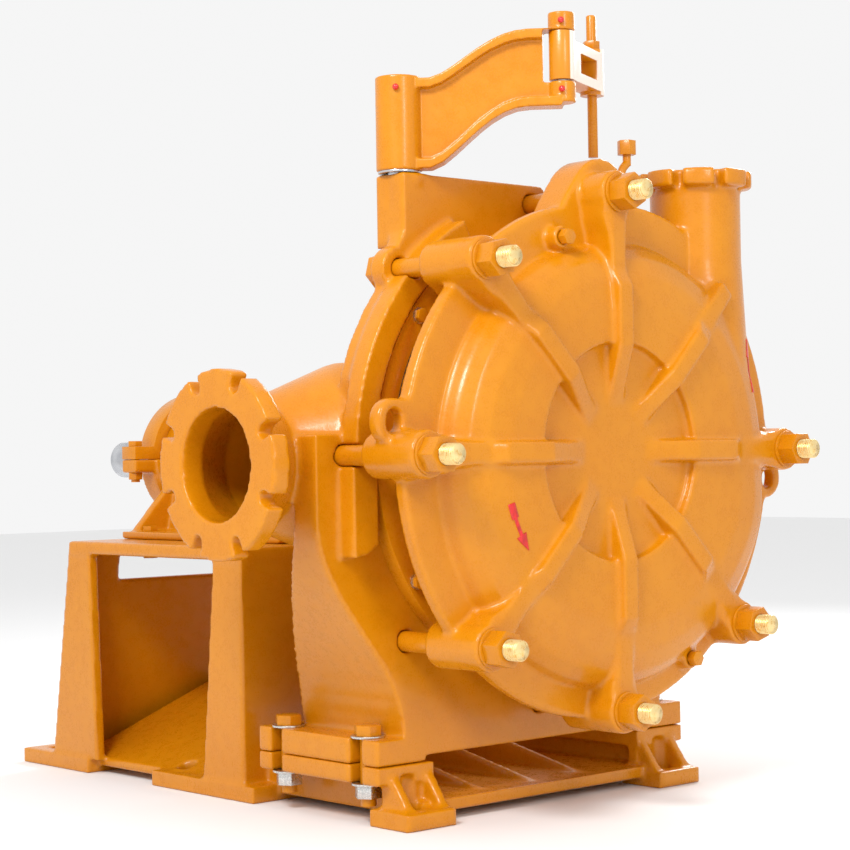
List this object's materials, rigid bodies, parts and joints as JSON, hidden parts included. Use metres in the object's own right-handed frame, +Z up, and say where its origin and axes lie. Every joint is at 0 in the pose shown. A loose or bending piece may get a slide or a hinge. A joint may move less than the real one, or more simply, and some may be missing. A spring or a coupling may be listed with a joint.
{
  "type": "slurry pump",
  "caption": "Horizontal slurry pump with ribbed stud-clamped casing, side suction, top discharge, bedplate and lifting davit.",
  "frame": {"origin": "on the floor, at the middle of the four foundation holes, straight under the shaft", "axes": "+Z up; +Y along the shaft towards the drive end; +X towards the discharge side, with the suction flange on -X"},
  "size_m": [1.247, 1.74, 1.525],
  "materials": {
    "orange_paint": "glossy yellow-orange enamel over sand-cast iron, slight orange peel",
    "machined_steel": "turned bare steel",
    "chrome_iron": "as-cast wear-resistant iron with machined faces",
    "zinc_plate": "bright zinc plate",
    "gasket_rubber": "matt black",
    "packing_fibre": "braided graphite fibre",
    "red_plastic": "glossy red cap",
    "bronze": "machined bronze"
  },
  "bodies": {
    "structure": {"base": "orange_paint", "bearing_pedestal": "orange_paint", "casing": "orange_paint", "casing_gasket": "gasket_rubber", "casing_plugs": "orange_paint", "casing_studs": "orange_paint", "clamp_bolts": "orange_paint", "clamp_caps": "orange_paint", "cover_bolts": "orange_paint", "cover_washers": "zinc_plate", "davit_pin": "machined_steel", "davit_thrust_washer": "machined_steel", "frame_bolts": "orange_paint", "frame_nuts": "zinc_plate", "frame_washers": "zinc_plate", "gland": "bronze", "gland_studs": "zinc_plate", "packing_rings": "packing_fibre", "pedestal_bolts": "orange_paint", "pump_frame": "orange_paint", "seal_bolts": "zinc_plate", "seal_housing": "orange_paint", "stud_nuts": "orange_paint", "stud_washers": "orange_paint", "suction_cover": "chrome_iron", "vent_cap": "orange_paint", "vent_pipe": "orange_paint"},
    "cartridge_body": {"cartridge": "orange_paint", "bearing_cover_rear": "orange_paint", "bearing_cover_front": "orange_paint", "bearing_cover_screws": "orange_paint", "bearing_front": "machined_steel", "bearing_rear": "machined_steel"},
    "rotor": {"shaft": "machined_steel", "shaft_sleeve": "machined_steel", "impeller": "chrome_iron", "expeller": "chrome_iron", "bearing_locknut": "machined_steel", "flinger": "orange_paint"},
    "davit": {"davit_arm": "orange_paint", "swivel_pin": "machined_steel", "grease_caps": "red_plastic"},
    "hanger": {"hanger_block": "orange_paint"},
    "rod": {"hanger_rod": "orange_paint"},
    "rod_nut": {"lifting_nut": "orange_paint"}
  },
  "joints": [
    {"name": "impeller_adjust", "type": "slide", "parent": "structure", "child": "cartridge_body", "axis": [0, 1, 0], "range_m": [-0.003, 0.003]},
    {"name": "rotor_spin", "type": "hinge", "parent": "cartridge_body", "child": "rotor", "pos_m": [0, 0, 0.682], "axis": [0, 1, 0], "continuous": true},
    {"name": "davit_swing", "type": "hinge", "parent": "structure", "child": "davit", "pos_m": [-0.307, -0.56, 1.213], "axis": [0, 0, 1], "range_deg": [-100, 60]},
    {"name": "hanger_swivel", "type": "hinge", "parent": "davit", "child": "hanger", "pos_m": [-0.096, -0.784, 1.373], "axis": [0, 0, 1], "range_deg": [-120, 48]},
    {"name": "hanger_lift", "type": "slide", "parent": "hanger", "child": "rod", "axis": [0, 0, 1], "range_m": [0, 0.08]},
    {"name": "nut_turn", "type": "hinge", "parent": "hanger", "child": "rod_nut", "pos_m": [0.047, -0.725, 1.457], "axis": [0, 0, 1], "range_deg": [0, 11520]}
  ],
  "couplings": [
    {"joint": "nut_turn", "follows": "hanger_lift", "rad_per_m": 2513.3}
  ]
}
